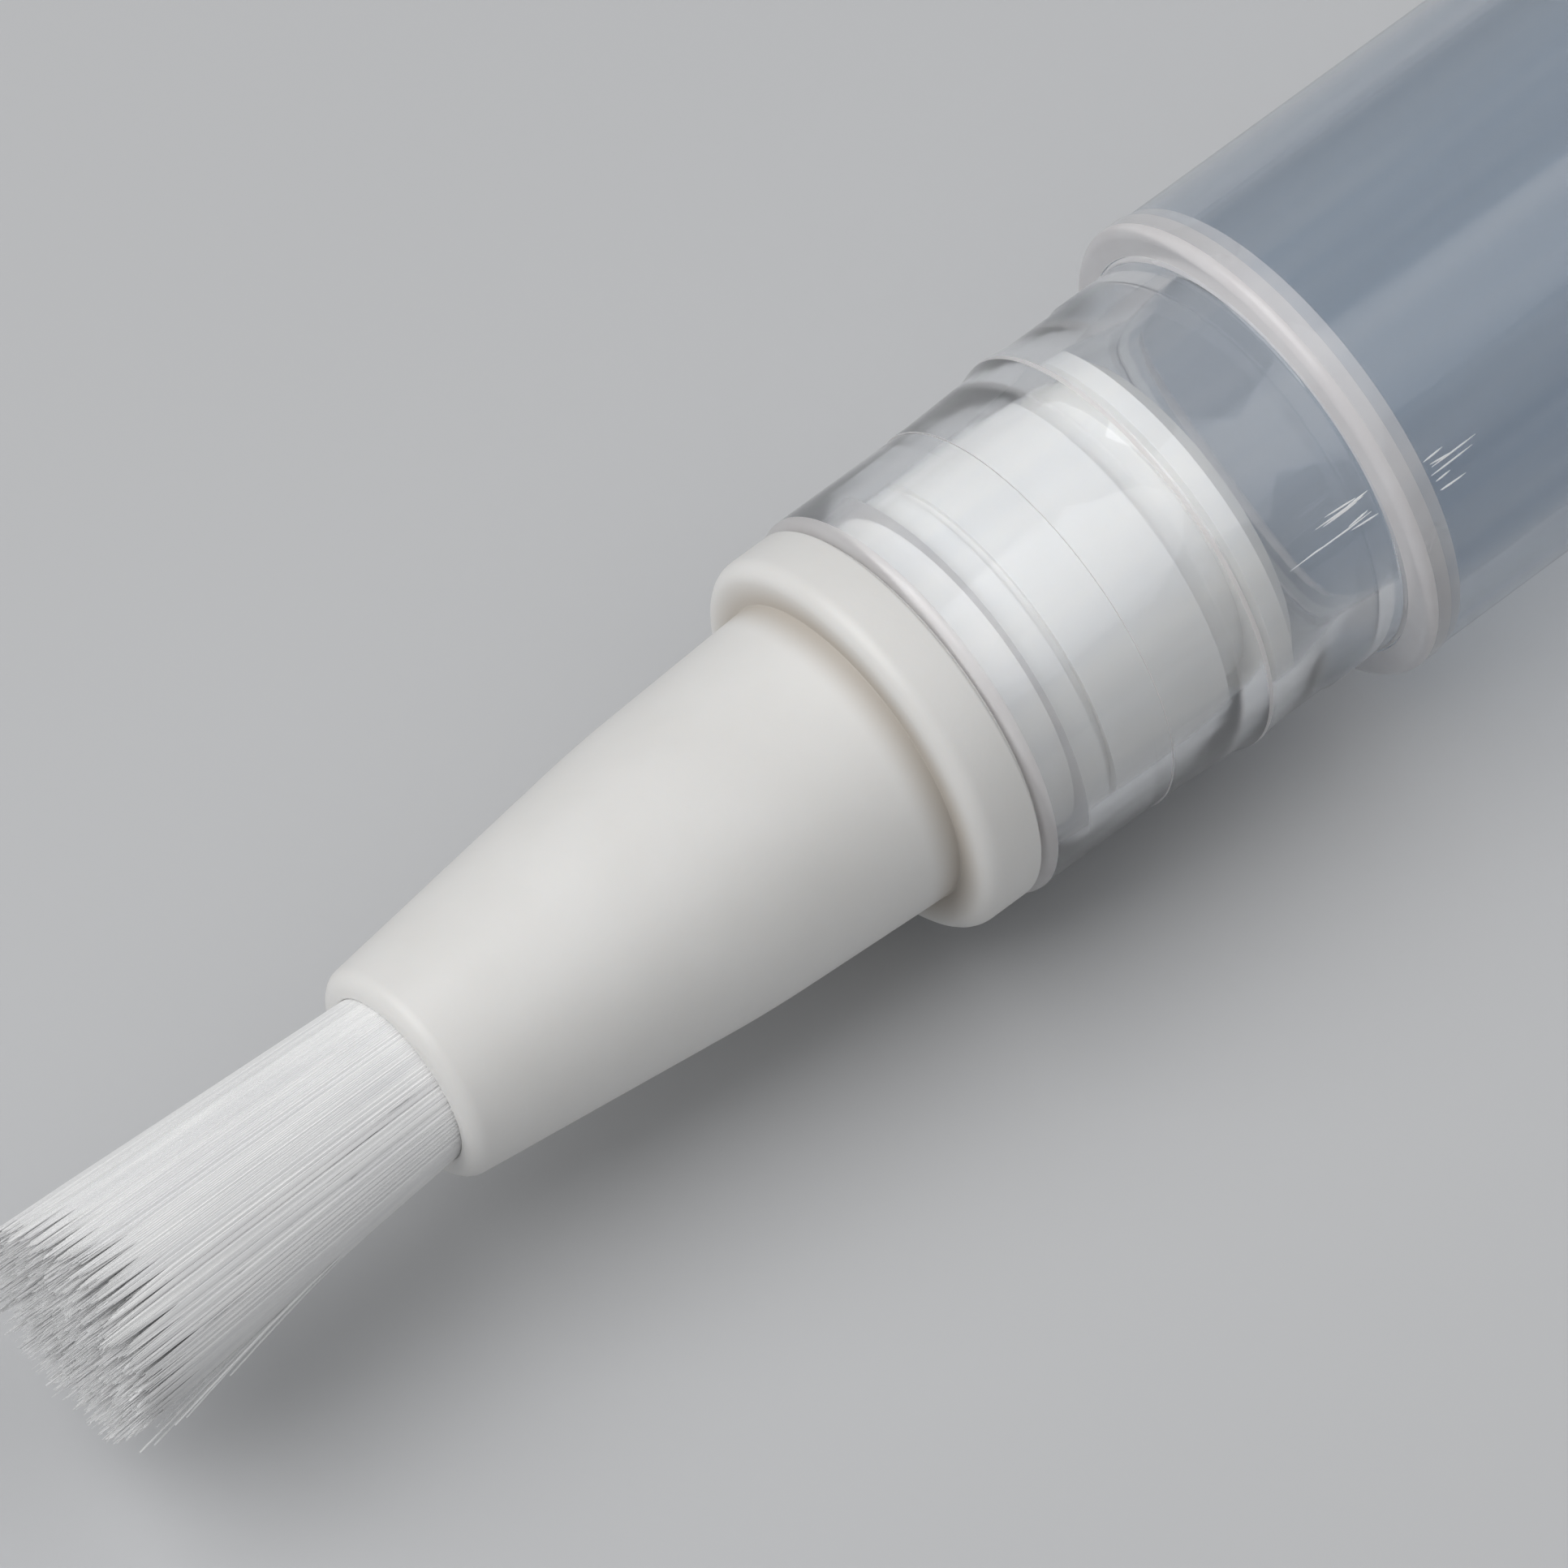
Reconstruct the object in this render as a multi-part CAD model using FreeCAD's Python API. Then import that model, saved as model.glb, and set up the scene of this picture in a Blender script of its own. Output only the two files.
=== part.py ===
import FreeCAD
import Part

import math
import os

# Clear twist pen for nail oil, lying on its side with its cap pulled off ahead of the brush.
# Turning the knob turns a keyed rod through a fixed nut, and the rod pushes a piston that feeds the
# oil through the nozzle into the brush. Sizes are in millimetres and angles in degrees.
# Places along the pen's axis are counted from the shoulder that the cap closes on: positive towards
# the knob and negative towards the brush.

# Room between pieces
press_gap = 0.02
running_gap = 0.06
end_gap = 0.1
overrun = 1.0

# Barrel, moulded in one with the neck
bore_radius = 4.6
barrel_wall = 0.9
seat_step = 0.2
front_wall = 0.5
rim_height = 0.07
rim_length = 0.6
rim_ease = 0.3
shoulder_round = 0.25
barrel_end_round = 0.2

# Neck with its snap bead for the cap
neck_length = 9.56
neck_bore_radius = 3.97
neck_wall = 0.65
neck_step_place = 6.2
neck_step_height = 0.03
ramp_length = 1.6
ramp_height = 0.07
bead_place = 3.69
bead_height = 0.23
bead_front = 0.45
bead_rear = 0.75
neck_waist_height = 0.15
neck_root_height = 0.2
neck_root_length = 1.7
neck_root_ease = 0.15
neck_root_round = 0.12
lip_round = 0.25
lip_recess_length = 1.2
lip_recess_depth = 0.33

# Brush nozzle, pressed into the neck by its plug
flange_gap = 0.08
flange_thickness = 1.42
flange_inset = 0.1
flange_round = 0.4
flange_back_round = 0.15
nozzle_length = 12.0
nozzle_tip_wall = 0.53
nozzle_tip_round = 0.35
nozzle_waist_radius = 3.36
nozzle_waist_place = 4.65
nozzle_root_radius = 3.6
nozzle_root_round = 0.3
plug_length = 7.3
plug_wall = 1.05
plug_chamfer = 0.4
plug_line_place = 2.0
plug_line_width = 0.2
plug_line_depth = 0.12
plug_rib_length = 0.9
plug_groove_length = 1.1
plug_groove_depth = 0.44
tuft_bore_radius = 1.97
root_bore_radius = 2.45
root_depth = 8.0

# Nylon tuft with its fused root, and the tube that feeds it
brush_length = 9.25
tuft_flare = 0.5
tuft_end_round = 0.9
tuft_shoulder_length = 1.5
root_length = 1.6
feed_radius = 0.85
feed_bore_radius = 0.45
feed_reach = 3.0
feed_flange_thickness = 1.0

# Piston with two wiping lips
stroke = 40.0
front_reserve = 1.4
park_gap = 0.4
piston_length = 6.2
piston_nose_length = 0.5
piston_lip_length = 0.6
piston_lip_ease = 0.7
piston_waist_depth = 0.45
piston_face_wall = 1.1
piston_hub_wall = 0.74
piston_skirt_wall = 0.75
piston_hollow_depth = 2.6

# Push rod, flat on two sides, with a button that snaps into the piston
rod_radius = 1.95
rod_flat_depth = 0.55
rod_button_length = 1.3
rod_groove_length = 1.4
rod_groove_depth = 0.5
rod_chamfer = 0.3
rod_tail_margin = 0.5

# Nut fixed in the barrel
nut_length = 5.0
nut_disc_thickness = 1.2
nut_hub_wall = 1.19
nut_rib_count = 6
nut_rib_width = 1.0

# Guide sleeve fixed behind the nut
sleeve_length = 18.5
sleeve_land_length = 2.6
sleeve_waist_depth = 0.55
sleeve_rib_count = 6
sleeve_rib_width = 1.2

# Drive tube that turns with the knob
tube_rod_gap = 0.35
tube_wall = 0.9
barb_height = 0.55
barb_length = 2.0
barb_nose_length = 0.9
finger_length = 3.6
finger_slot_width = 0.8
finger_slot_count = 2
key_setback = 0.6
key_length = 3.0
collar_length = 3.6
shank_step = 0.44
shank_spline_count = 12
shank_spline_width = 1.0
shank_spline_depth = 0.5

# Ratchet between the guide sleeve and the drive tube, and its spring
tooth_count = 24
tooth_height = 0.45
tooth_inner_margin = 0.19
tooth_outer_margin = 0.15
ratchet_gap = 0.3
ratchet_length = 2.0
ratchet_key_count = 6
ratchet_key_width = 1.0
ratchet_key_depth = 0.4
spring_length = 6.1
spring_turns = 4
spring_tube_gap = 0.425
spring_wire = 0.45
spring_seat_gap = 0.03

# Knob
knob_gap = 0.25
knob_inset = 0.1
knob_front_round = 0.3
knob_end_round = 0.9
knob_end_wall = 1.4
knob_tail_wall = 2.6
tail_room_side_gap = 0.65
tail_room_gap = 0.6
flute_count = 24
flute_radius = 0.55
flute_depth = 0.16
flute_front_margin = 3.0
flute_end_margin = 1.6

# Cap
cap_tip_room = 4.0
cap_end_wall = 1.6
cap_end_round = 1.6
cap_inner_round = 1.2
cap_mouth_round = 0.15
cap_skirt_spare = 0.4
cap_bore_gap = 0.15
cap_bead_gap = 0.08
cap_seat_gap = 0.1
cap_standoff = 11.0

# Places worked out along the axis, from the brush to the knob
flange_back = -neck_length - flange_gap
flange_front = flange_back - flange_thickness
nozzle_front = flange_front - nozzle_length
brush_tip = nozzle_front - brush_length
root_step = nozzle_front + root_depth
root_back = root_step + press_gap + root_length
feed_front = nozzle_front - feed_reach
plug_back = flange_back + plug_length
front_cone_end = front_wall + bore_radius - neck_bore_radius
piston_front = front_reserve + stroke
piston_back = piston_front + piston_length
chamber_end = piston_back + park_gap
nut_back = chamber_end + nut_length
tube_front = nut_back + end_gap
barb_back = tube_front + barb_length
key_front = tube_front + finger_length + key_setback
key_back = key_front + key_length
sleeve_back = nut_back + sleeve_length
ratchet_front = sleeve_back + tooth_height + end_gap + tooth_height
ratchet_back = ratchet_front + ratchet_length
collar_front = ratchet_back + spring_length
barrel_end = collar_front + collar_length
knob_front = barrel_end + knob_gap
rod_end = key_back + stroke + rod_tail_margin
tail_room_end = rod_end + tail_room_gap
knob_end = tail_room_end + knob_end_wall
shank_end = tail_room_end - knob_tail_wall
cap_mouth = brush_tip - cap_standoff
cap_depth = cap_tip_room - brush_tip - cap_seat_gap
cap_end = cap_mouth - cap_depth - cap_end_wall
cap_travel = -cap_mouth - cap_seat_gap

# Radii worked out from the walls and from the pieces that they fit
barrel_radius = bore_radius + barrel_wall
seat_radius = bore_radius + seat_step
neck_radius = neck_bore_radius + neck_wall
bead_radius = neck_radius + bead_height
neck_waist_radius = neck_radius + neck_waist_height
neck_root_radius = neck_radius + neck_root_height
flange_radius = neck_radius - flange_inset
plug_radius = neck_bore_radius - press_gap
plug_bore_radius = plug_radius - plug_wall
nozzle_tip_radius = tuft_bore_radius + nozzle_tip_wall
root_radius = root_bore_radius - press_gap
tuft_radius = tuft_bore_radius - press_gap
piston_radius = bore_radius - running_gap
rod_half_flat = rod_radius - rod_flat_depth
rod_groove_radius = rod_radius - rod_groove_depth
socket_radius = rod_radius + running_gap
piston_hub_radius = socket_radius + piston_hub_wall
nut_bore_radius = rod_radius + running_gap
nut_hub_radius = nut_bore_radius + nut_hub_wall
seated_radius = seat_radius - press_gap
tube_bore_radius = rod_radius + tube_rod_gap
tube_radius = tube_bore_radius + tube_wall
barb_radius = tube_radius + barb_height
guide_radius = tube_radius + running_gap
collar_radius = seat_radius - running_gap
shank_radius = collar_radius - shank_step
ratchet_radius = seat_radius - ratchet_gap
tooth_inner_radius = guide_radius + tooth_inner_margin
tooth_outer_radius = ratchet_radius - tooth_outer_margin
spring_radius = tube_radius + spring_tube_gap + spring_wire / 2
knob_radius = barrel_radius - knob_inset
tail_room_radius = rod_radius + tail_room_side_gap
cap_radius = barrel_radius

origin = FreeCAD.Vector(0, 0, 0)
pen_axis = FreeCAD.Vector(1, 0, 0)
full_turn = 360


def corner_arc(before, corner, after, radius):
    """Start, middle and end of the arc that rounds one corner of an outline."""
    back = (before - corner).normalize()
    ahead = (after - corner).normalize()
    half_angle = back.getAngle(ahead) / 2
    reach = radius / math.tan(half_angle)
    inward = (back + ahead).normalize()
    middle = corner + inward * (radius / math.sin(half_angle) - radius)
    return corner + back * reach, middle, corner + ahead * reach


def turned(corners):
    """Solid turned about the axis from (place, radius) corners; a third number rounds its corner."""
    points = [FreeCAD.Vector(corner[0], corner[1], 0) for corner in corners]
    edges = []
    arrivals = []
    departures = []
    for index, corner in enumerate(corners):
        start = end = points[index]
        if len(corner) > 2:
            after = points[(index + 1) % len(points)]
            start, middle, end = corner_arc(points[index - 1], points[index], after, corner[2])
            edges.append(Part.Arc(start, middle, end).toShape())
        arrivals.append(start)
        departures.append(end)
    for index, departure in enumerate(departures):
        arrival = arrivals[(index + 1) % len(arrivals)]
        edges.append(Part.LineSegment(departure, arrival).toShape())
    outline = Part.Wire(Part.sortEdges(edges)[0])
    return Part.Face(outline).revolve(origin, pen_axis, full_turn)


def around(shape, count):
    """The shape repeated evenly about the axis."""
    copies = []
    for index in range(count):
        copy = shape.copy()
        copy.rotate(origin, pen_axis, index * full_turn / count)
        copies.append(copy)
    return copies


def bar(start, end, inner_radius, outer_radius, width):
    """Bar along the axis, standing radially between two radii."""
    corner = FreeCAD.Vector(start, -width / 2, inner_radius)
    return Part.makeBox(end - start, width, outer_radius - inner_radius, corner)


def double_flat(start, end, radius, half_flat):
    """Round bar along the axis with a flat on two opposite sides."""
    round_bar = Part.makeCylinder(radius, end - start, FreeCAD.Vector(start, 0, 0), pen_axis)
    corner = FreeCAD.Vector(start, -radius, -half_flat)
    return round_bar.common(Part.makeBox(end - start, radius + radius, half_flat + half_flat, corner))


def saw_teeth(base, rise):
    """Saw teeth that run round a face across the axis; rise is their height, signed along the axis.

    Teeth that rise forwards and backwards lean opposite ways, so that two such rings mesh.
    """
    root = base - math.copysign(press_gap, rise)
    pitch = math.radians(full_turn / tooth_count)
    corners = [(root, 0), (base + rise, 0), (base, pitch), (root, pitch)]
    radii = (tooth_inner_radius, tooth_outer_radius)
    if rise < 0:
        corners = [(root, 0), (base, 0), (base + rise, pitch), (root, pitch)]
        radii = (tooth_outer_radius, tooth_inner_radius)
    sides = []
    for radius in radii:
        ring = [FreeCAD.Vector(x, radius * math.cos(a), radius * math.sin(a)) for x, a in corners]
        sides.append(Part.makePolygon(ring + ring[:1]))
    return around(Part.makeLoft(sides, True, True), tooth_count)


def make_barrel():
    """Oil barrel, shoulder and neck: one clear moulding, open at both ends."""
    rim_radius = barrel_radius + rim_height
    step_radius = neck_radius + neck_step_height
    bead_start = bead_place + bead_front
    recess_end = -neck_length + lip_recess_length
    recess_radius = neck_bore_radius + lip_recess_depth
    return turned([
        (-neck_length, recess_radius),
        (-neck_length, neck_radius, lip_round),
        (-neck_step_place, neck_radius),
        (-neck_step_place, step_radius),
        (-bead_start - ramp_length, step_radius),
        (-bead_start, step_radius + ramp_height),
        (-bead_place, bead_radius),
        (-bead_place + bead_rear, neck_waist_radius),
        (-neck_root_length, neck_waist_radius),
        (-neck_root_length + neck_root_ease, neck_root_radius),
        (0, neck_root_radius, neck_root_round),
        (0, rim_radius, shoulder_round),
        (rim_length, rim_radius),
        (rim_length + rim_ease, barrel_radius),
        (barrel_end, barrel_radius, barrel_end_round),
        (barrel_end, seat_radius),
        (chamber_end, seat_radius),
        (chamber_end, bore_radius),
        (front_cone_end, bore_radius),
        (front_wall, neck_bore_radius),
        (recess_end, neck_bore_radius),
        (recess_end, recess_radius),
    ])


def make_brush_nozzle():
    """White tapered nozzle with the flange that stops the fingers and the plug that fills the neck."""
    rib_front = plug_back - plug_rib_length
    groove_front = rib_front - plug_groove_length
    groove_radius = plug_radius - plug_groove_depth
    line_front = flange_back + plug_line_place
    line_back = line_front + plug_line_width
    line_radius = plug_radius - plug_line_depth
    return turned([
        (nozzle_front, tuft_bore_radius),
        (nozzle_front, nozzle_tip_radius, nozzle_tip_round),
        (flange_front - nozzle_waist_place, nozzle_waist_radius),
        (flange_front, nozzle_root_radius, nozzle_root_round),
        (flange_front, flange_radius, flange_round),
        (flange_back, flange_radius, flange_back_round),
        (flange_back, plug_radius),
        (line_front, plug_radius),
        (line_front, line_radius),
        (line_back, line_radius),
        (line_back, plug_radius),
        (groove_front, plug_radius),
        (groove_front, groove_radius),
        (rib_front, groove_radius),
        (rib_front, plug_radius),
        (plug_back - plug_chamfer, plug_radius),
        (plug_back, plug_radius - plug_chamfer),
        (plug_back, plug_bore_radius),
        (flange_front, plug_bore_radius),
        (flange_front - plug_bore_radius + root_bore_radius, root_bore_radius),
        (root_step, root_bore_radius),
        (root_step, tuft_bore_radius),
    ])


def make_bristle_tuft():
    """Outer shape of the nylon tuft, a little fuller at its blunt end, on its fused root."""
    sleeve_radius = feed_radius + press_gap
    full_radius = tuft_radius + tuft_flare
    return turned([
        (root_back, sleeve_radius),
        (root_back, root_radius),
        (root_back - root_length, root_radius),
        (root_back - root_length, tuft_radius),
        (nozzle_front, tuft_radius),
        (brush_tip + tuft_shoulder_length, full_radius),
        (brush_tip, full_radius, tuft_end_round),
        (brush_tip, 0),
        (feed_front - press_gap, 0),
        (feed_front - press_gap, sleeve_radius),
    ])


def make_feed_tube():
    """Tube that carries the oil into the tuft; its flange holds the tuft's root on its step."""
    flange_start = root_back + press_gap
    return turned([
        (feed_front, feed_bore_radius),
        (feed_front, feed_radius),
        (flange_start, feed_radius),
        (flange_start, root_radius),
        (flange_start + feed_flange_thickness, root_radius),
        (flange_start + feed_flange_thickness, feed_bore_radius),
    ])


def make_piston():
    """Soft piston: two wiping lips, a cupped back and a socket that snaps over the rod's button."""
    nose_radius = neck_bore_radius - running_gap
    waist_radius = piston_radius - piston_waist_depth
    front_lip = piston_front + piston_nose_length + piston_lip_length
    back_lip = piston_back - piston_lip_length
    socket_front = piston_front + piston_face_wall
    socket_back = socket_front + end_gap + rod_button_length + end_gap
    catch_back = socket_back + rod_groove_length - end_gap - end_gap
    hollow_front = piston_back - piston_hollow_depth
    skirt_radius = waist_radius - piston_skirt_wall
    return turned([
        (piston_front, 0),
        (piston_front, nose_radius),
        (piston_front + piston_nose_length, piston_radius),
        (front_lip, piston_radius),
        (front_lip + piston_lip_ease, waist_radius),
        (back_lip - piston_lip_ease, waist_radius),
        (back_lip, piston_radius),
        (piston_back, piston_radius),
        (piston_back, skirt_radius),
        (hollow_front, skirt_radius),
        (hollow_front, piston_hub_radius),
        (piston_back, piston_hub_radius),
        (piston_back, socket_radius),
        (catch_back, socket_radius),
        (catch_back, rod_groove_radius + running_gap),
        (socket_back, rod_groove_radius + running_gap),
        (socket_back, socket_radius),
        (socket_front, socket_radius),
        (socket_front, 0),
    ])


def make_push_rod():
    """Rod that the nut drives forward: round where the nut grips it and flat where it is turned."""
    button_front = piston_front + piston_face_wall + end_gap
    groove_front = button_front + rod_button_length
    shaft_front = groove_front + rod_groove_length
    button = turned([
        (button_front, 0),
        (button_front, rod_radius - rod_chamfer),
        (button_front + rod_chamfer, rod_radius),
        (groove_front, rod_radius),
        (groove_front, rod_groove_radius),
        (shaft_front, rod_groove_radius),
        (shaft_front, 0),
    ])
    shaft = double_flat(shaft_front, rod_end, rod_radius, rod_half_flat)
    return button.fuse(shaft).removeSplitter()


def make_rod_nut():
    """Fixed nut: a disc on the barrel's step, a hub that carries the thread, and ribs between them."""
    disc_back = chamber_end + nut_disc_thickness
    nut = turned([
        (chamber_end, nut_bore_radius),
        (chamber_end, seated_radius),
        (disc_back, seated_radius),
        (disc_back, nut_hub_radius),
        (nut_back, nut_hub_radius),
        (nut_back, nut_bore_radius),
    ])
    blank = bar(disc_back - press_gap, nut_back, nut_hub_radius - press_gap, seat_radius, nut_rib_width)
    rim = Part.makeCylinder(seated_radius, nut_length, FreeCAD.Vector(chamber_end, 0, 0), pen_axis)
    return nut.multiFuse(around(blank.common(rim), nut_rib_count)).removeSplitter()


def make_guide_sleeve():
    """Fixed sleeve that the drive tube turns in: ribbed waist, and ratchet teeth on its back face."""
    waist_radius = seated_radius - sleeve_waist_depth
    waist_front = nut_back + sleeve_land_length
    waist_back = sleeve_back - sleeve_land_length
    step = barb_back + end_gap
    sleeve = turned([
        (nut_back, barb_radius + running_gap),
        (nut_back, seated_radius),
        (waist_front, seated_radius),
        (waist_front, waist_radius),
        (waist_back, waist_radius),
        (waist_back, seated_radius),
        (sleeve_back, seated_radius),
        (sleeve_back, guide_radius),
        (step, guide_radius),
        (step, barb_radius + running_gap),
    ])
    blank = bar(waist_front, waist_back, waist_radius - press_gap, seat_radius, sleeve_rib_width)
    rim = Part.makeCylinder(seated_radius, sleeve_length, FreeCAD.Vector(nut_back, 0, 0), pen_axis)
    ribs = around(blank.common(rim), sleeve_rib_count)
    teeth = saw_teeth(sleeve_back, tooth_height)
    return sleeve.multiFuse(ribs + teeth).removeSplitter()


def make_drive_tube():
    """Tube that turns the rod: barbed fingers, a keyed web, a collar in the barrel, a splined shank."""
    tube = turned([
        (tube_front, tube_bore_radius),
        (tube_front, tube_radius),
        (tube_front + barb_nose_length, barb_radius),
        (barb_back, barb_radius),
        (barb_back, tube_radius),
        (collar_front, tube_radius),
        (collar_front, collar_radius),
        (knob_front, collar_radius),
        (knob_front, shank_radius),
        (shank_end, shank_radius),
        (shank_end, tube_bore_radius),
        (key_back, tube_bore_radius),
        (key_back, 0),
        (key_front, 0),
        (key_front, tube_bore_radius),
    ])
    key_hole = double_flat(
        key_front - overrun, key_back + overrun, rod_radius + running_gap, rod_half_flat + running_gap
    )
    slot = bar(
        tube_front - overrun, tube_front + finger_length, -barb_radius - overrun, barb_radius + overrun,
        finger_slot_width,
    )
    slots = []
    for index in range(finger_slot_count):
        cut = slot.copy()
        cut.rotate(origin, pen_axis, index * full_turn / (2 * finger_slot_count))
        slots.append(cut)
    keyway = bar(
        sleeve_back, collar_front, tube_radius - ratchet_key_depth, tube_radius + overrun,
        ratchet_key_width,
    )
    groove = bar(
        knob_front, shank_end + overrun, shank_radius - shank_spline_depth, shank_radius + overrun,
        shank_spline_width,
    )
    keyways = around(keyway, ratchet_key_count)
    grooves = around(groove, shank_spline_count)
    return tube.cut([key_hole] + slots + keyways + grooves)


def make_ratchet_ring():
    """Ring keyed to the drive tube, held at the top of a click with its teeth clear of the sleeve's."""
    ring = turned([
        (ratchet_front, guide_radius),
        (ratchet_front, ratchet_radius),
        (ratchet_back, ratchet_radius),
        (ratchet_back, guide_radius),
    ])
    key = bar(
        ratchet_front, ratchet_back, tube_radius - ratchet_key_depth + running_gap,
        tooth_inner_radius, ratchet_key_width - 2 * running_gap,
    )
    teeth = saw_teeth(ratchet_front, -tooth_height)
    return ring.multiFuse(around(key, ratchet_key_count) + teeth).removeSplitter()


def arc_along(start, heading, end):
    """Arc that leaves a point along a heading and ends at another point."""
    chord = end - start
    along = FreeCAD.Vector(chord).normalize()
    outward = (heading - along * heading.dot(along)).normalize()
    sagitta = chord.Length / 2 * math.tan(heading.getAngle(along) / 2)
    return Part.Arc(start, start + chord / 2 + outward * sagitta, end).toShape()


def make_click_spring():
    """Steel compression spring round the drive tube: one wire, wound on pairs of tangent arcs."""
    first = ratchet_back + spring_seat_gap + spring_wire / 2
    last = collar_front - spring_seat_gap - spring_wire / 2
    halves = 2 * spring_turns
    climb = (last - first) / (spring_turns * full_turn)

    def wire_point(angle):
        turn = math.radians(angle)
        return FreeCAD.Vector(
            first + climb * angle, spring_radius * math.cos(turn), spring_radius * math.sin(turn)
        )

    def wire_heading(angle):
        turn = math.radians(angle)
        rise = climb * full_turn / (2 * math.pi)
        side = FreeCAD.Vector(rise, -spring_radius * math.sin(turn), spring_radius * math.cos(turn))
        return side.normalize()

    half = full_turn / 2
    opening = wire_point(0)
    edges = [Part.LineSegment(opening - wire_heading(0) * spring_wire, opening).toShape()]
    for index in range(halves):
        start = wire_point(index * half)
        end = wire_point((index + 1) * half)
        leave = wire_heading(index * half)
        arrive = wire_heading((index + 1) * half)
        chord = end - start
        spread = 2 - 2 * leave.dot(arrive)
        lean = 2 * chord.dot(leave + arrive)
        reach = (math.sqrt(lean * lean + 4 * spread * chord.dot(chord)) - lean) / (2 * spread)
        joint = (start + end + (leave - arrive) * reach) / 2
        joint_heading = (end - start - (leave + arrive) * reach).normalize()
        edges.append(arc_along(start, leave, joint))
        edges.append(arc_along(joint, joint_heading, end))
    closing = wire_point(halves * half)
    tail = closing + wire_heading(halves * half) * spring_wire
    edges.append(Part.LineSegment(closing, tail).toShape())

    section = Part.makeCircle(spring_wire / 2, edges[0].Vertexes[0].Point, wire_heading(0))
    shell = Part.BRepOffsetAPI.MakePipeShell(Part.Wire(edges))
    shell.add(Part.Wire([section]))
    shell.build()
    shell.makeSolid()

    turns_apart = [
        (wire_point(angle + full_turn) - wire_point(angle)).Length
        for angle in range(0, (spring_turns - 1) * full_turn, full_turn // tooth_count)
    ]
    print("least gap between turns of the click spring:", round(min(turns_apart) - spring_wire, 3), "mm")
    return shell.shape()


def make_knob():
    """Clear twist knob: a fluted cup whose inner ribs key onto the drive tube's shank."""
    cup_radius = shank_radius + press_gap
    cup = turned([
        (knob_front, cup_radius),
        (knob_front, knob_radius, knob_front_round),
        (knob_end, knob_radius, knob_end_round),
        (knob_end, 0),
        (tail_room_end, 0),
        (tail_room_end, tail_room_radius),
        (shank_end + end_gap, tail_room_radius),
        (shank_end + end_gap, cup_radius),
    ])
    rib = bar(
        knob_front, shank_end + end_gap, shank_radius - shank_spline_depth + press_gap,
        cup_radius + press_gap, shank_spline_width - 2 * press_gap,
    )
    flute_place = knob_radius + flute_radius - flute_depth
    flute_start = FreeCAD.Vector(knob_front + flute_front_margin, 0, flute_place)
    flute_length = knob_end - flute_end_margin - knob_front - flute_front_margin
    flute = Part.makeCylinder(flute_radius, flute_length, flute_start, pen_axis)
    fluted = cup.cut(around(flute, flute_count))
    return fluted.multiFuse(around(rib, shank_spline_count)).removeSplitter()


def make_cap():
    """Clear cap, pulled off: its skirt slides over the neck's bead and its rim stops on the shoulder."""
    skirt_radius = bead_radius + cap_bead_gap
    inner_radius = flange_radius + cap_bore_gap
    skirt_end = cap_mouth - neck_length - cap_skirt_spare
    return turned([
        (cap_mouth, skirt_radius),
        (cap_mouth, cap_radius, cap_mouth_round),
        (cap_end, cap_radius, cap_end_round),
        (cap_end, 0),
        (cap_mouth - cap_depth, 0),
        (cap_mouth - cap_depth, inner_radius, cap_inner_round),
        (skirt_end - skirt_radius + inner_radius, inner_radius),
        (skirt_end, skirt_radius),
    ])


pieces = {
    "barrel": make_barrel(),
    "brush_nozzle": make_brush_nozzle(),
    "bristle_tuft": make_bristle_tuft(),
    "feed_tube": make_feed_tube(),
    "piston": make_piston(),
    "push_rod": make_push_rod(),
    "rod_nut": make_rod_nut(),
    "guide_sleeve": make_guide_sleeve(),
    "drive_tube": make_drive_tube(),
    "ratchet_ring": make_ratchet_ring(),
    "click_spring": make_click_spring(),
    "knob": make_knob(),
    "cap": make_cap(),
}

# The pen rests on its shoulder rim, with its origin on the surface below the middle of its length
resting_place = FreeCAD.Vector(-(cap_end + knob_end) / 2, 0, barrel_radius + rim_height)
os.makedirs("parts", exist_ok=True)
for name, piece in pieces.items():
    piece.translate(resting_place)
    piece.exportStep(f"parts/{name}.step")
    print(name, "solids", len(piece.Solids), "valid", piece.isValid(), "volume", round(piece.Volume, 2))
print("shoulder at", round(resting_place.x, 3), "axis height", round(resting_place.z, 3))
print("barrel end", round(barrel_end, 3), "knob end", round(knob_end, 3), "cap travel", round(cap_travel, 3))
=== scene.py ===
import math
import random

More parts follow.
